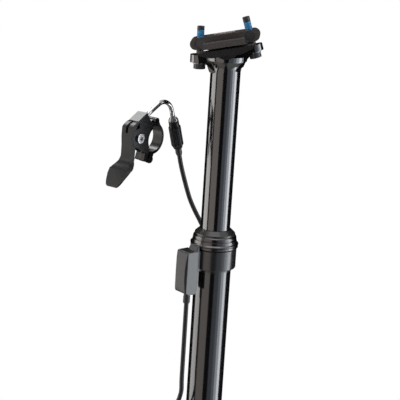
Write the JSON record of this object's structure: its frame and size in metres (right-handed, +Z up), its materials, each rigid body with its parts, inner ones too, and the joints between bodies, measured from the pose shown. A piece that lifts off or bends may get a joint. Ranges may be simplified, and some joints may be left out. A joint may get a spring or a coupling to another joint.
{
  "type": "dropper seatpost",
  "caption": "Telescopic bicycle seatpost with a tilted two-bolt saddle clamp, side cable pod, coiled housing and a bar-mounted thumb lever that releases its gas lock.",
  "frame": {"origin": "on the post axis at the underside of the collar, where the post stops against the frame's seat tube", "axes": "+Z up the post towards the saddle, -X towards the front of the bicycle, from which the saddle clamp is turned 11 degrees, +Y to the right"},
  "size_m": [0.1275, 0.0761, 0.4247],
  "materials": {
    "black_tube": "gloss black anodised",
    "black_collar": "satin black anodised",
    "wiper_rubber": "matt rubber",
    "bush_plastic": "moulded",
    "pod_plastic": "fine moulded texture",
    "plain_aluminium": "machined",
    "bright_steel": "bright",
    "bolt_steel": "black oxide",
    "key_brass": "machined",
    "clamp_black": "satin black anodised",
    "remote_black": "satin black anodised",
    "housing_black": "smooth"
  },
  "bodies": {
    "outer_post": {"outer_tube": "black_tube", "bottom_cap": "plain_aluminium", "collar_sleeve": "black_collar", "collar_nut": "black_collar", "wiper_seal": "wiper_rubber", "upper_bushing": "bush_plastic", "pod_cover": "pod_plastic", "crank_pin": "bright_steel", "pod_ferrule": "pod_plastic", "piston_rod": "bright_steel", "piston": "bright_steel", "piston_seal": "wiper_rubber", "rocker_pin": "bright_steel", "remote_bracket": "remote_black", "clamp_band": "remote_black", "band_hinge_pin": "bright_steel", "clamp_bolt": "bright_steel", "lever_pivot_bolt": "bright_steel", "cable_noodle": "bright_steel", "noodle_cup": "plain_aluminium", "adjuster_boot": "pod_plastic", "housing_drop": "housing_black", "housing_coil": "housing_black", "housing_rise": "housing_black", "coil_tie": "pod_plastic"},
    "upper_post": {"stanchion": "black_tube", "lower_bushing": "bush_plastic", "guide_keys": "key_brass", "cartridge_tube": "plain_aluminium", "seal_head": "plain_aluminium", "cartridge_cap": "plain_aluminium", "floating_piston": "plain_aluminium", "retaining_ring": "plain_aluminium", "front_bolt": "bolt_steel", "rear_bolt": "bolt_steel", "bolt_washers": "bright_steel"},
    "saddle_clamp": {"lower_cradle": "clamp_black", "upper_yoke": "clamp_black"},
    "front_nut": {"front_barrel_nut": "bright_steel"},
    "rear_nut": {"rear_barrel_nut": "bright_steel"},
    "remote_lever": {"thumb_lever": "remote_black", "lever_bushes": "key_brass"},
    "remote_inner_wire": {"remote_wire": "bright_steel"},
    "crank": {"bell_crank": "bright_steel"},
    "pod_inner_wire": {"pod_wire": "bright_steel"},
    "strip": {"pull_strip": "bright_steel"},
    "rocker": {"foot_rocker": "bright_steel"},
    "valve": {"valve_pin": "bright_steel"},
    "adjuster": {"adjuster_barrel": "remote_black"}
  },
  "joints": [
    {"name": "post_slide", "type": "slide", "parent": "outer_post", "child": "upper_post", "axis": [0, 0, 1], "range_m": [-0.125, 0], "stiffness_N_per_m": 400, "springref_m": 0.4},
    {"name": "saddle_tilt", "type": "hinge", "parent": "upper_post", "child": "saddle_clamp", "pos_m": [-0.00021, 0.00004, 0.19668], "axis": [0.1908, 0.9816, 0], "range_deg": [-6, 6]},
    {"name": "front_nut_turn", "type": "hinge", "parent": "saddle_clamp", "child": "front_nut", "pos_m": [-0.02221, 0.00432, 0.19529], "axis": [0.1908, 0.9816, 0], "range_deg": [-6, 6]},
    {"name": "rear_nut_turn", "type": "hinge", "parent": "saddle_clamp", "child": "rear_nut", "pos_m": [0.01819, -0.00354, 0.20442], "axis": [0.1908, 0.9816, 0], "range_deg": [-6, 6]},
    {"name": "lever_press", "type": "hinge", "parent": "outer_post", "child": "remote_lever", "pos_m": [-0.07369, -0.00569, 0.1148], "axis": [0.7071, -0.7071, 0], "range_deg": [0, 20], "stiffness_Nm_per_rad": 0.6, "springref_deg": -20.05},
    {"name": "remote_wire_pull", "type": "slide", "parent": "outer_post", "child": "remote_inner_wire", "axis": [-0.63, -0.63, -0.454], "range_m": [0, 0.0032]},
    {"name": "crank_turn", "type": "hinge", "parent": "outer_post", "child": "crank", "pos_m": [-0.01543, -0.00965, 0.0075], "axis": [0.5299, -0.848, 0], "range_deg": [0, 19.9]},
    {"name": "pod_wire_pull", "type": "slide", "parent": "outer_post", "child": "pod_inner_wire", "axis": [0, 0, -1], "range_m": [0, 0.0032]},
    {"name": "strip_lift", "type": "slide", "parent": "outer_post", "child": "strip", "axis": [0, 0, 1], "range_m": [0, 0.00179]},
    {"name": "rocker_turn", "type": "hinge", "parent": "outer_post", "child": "rocker", "pos_m": [0.00594, 0.00371, -0.1963], "axis": [-0.5299, 0.848, 0], "range_deg": [0, 5.64]},
    {"name": "valve_open", "type": "slide", "parent": "outer_post", "child": "valve", "axis": [0, 0, 1], "range_m": [0, 0.00072]},
    {"name": "adjuster_spin", "type": "hinge", "parent": "outer_post", "child": "adjuster", "pos_m": [-0.03731, 0.03069, 0.12049], "axis": [0.2302, 0.2302, -0.9455], "continuous": true}
  ],
  "couplings": [
    {"joint": "front_nut_turn", "follows": "saddle_tilt", "ratio": -1},
    {"joint": "rear_nut_turn", "follows": "saddle_tilt", "ratio": -1},
    {"joint": "remote_wire_pull", "follows": "lever_press", "m_per_rad": 0.009},
    {"joint": "crank_turn", "follows": "lever_press", "ratio": 0.99003},
    {"joint": "pod_wire_pull", "follows": "lever_press", "m_per_rad": 0.009},
    {"joint": "strip_lift", "follows": "lever_press", "m_per_rad": 0.004975},
    {"joint": "rocker_turn", "follows": "lever_press", "ratio": 0.27681},
    {"joint": "valve_open", "follows": "lever_press", "m_per_rad": 0.001978}
  ]
}
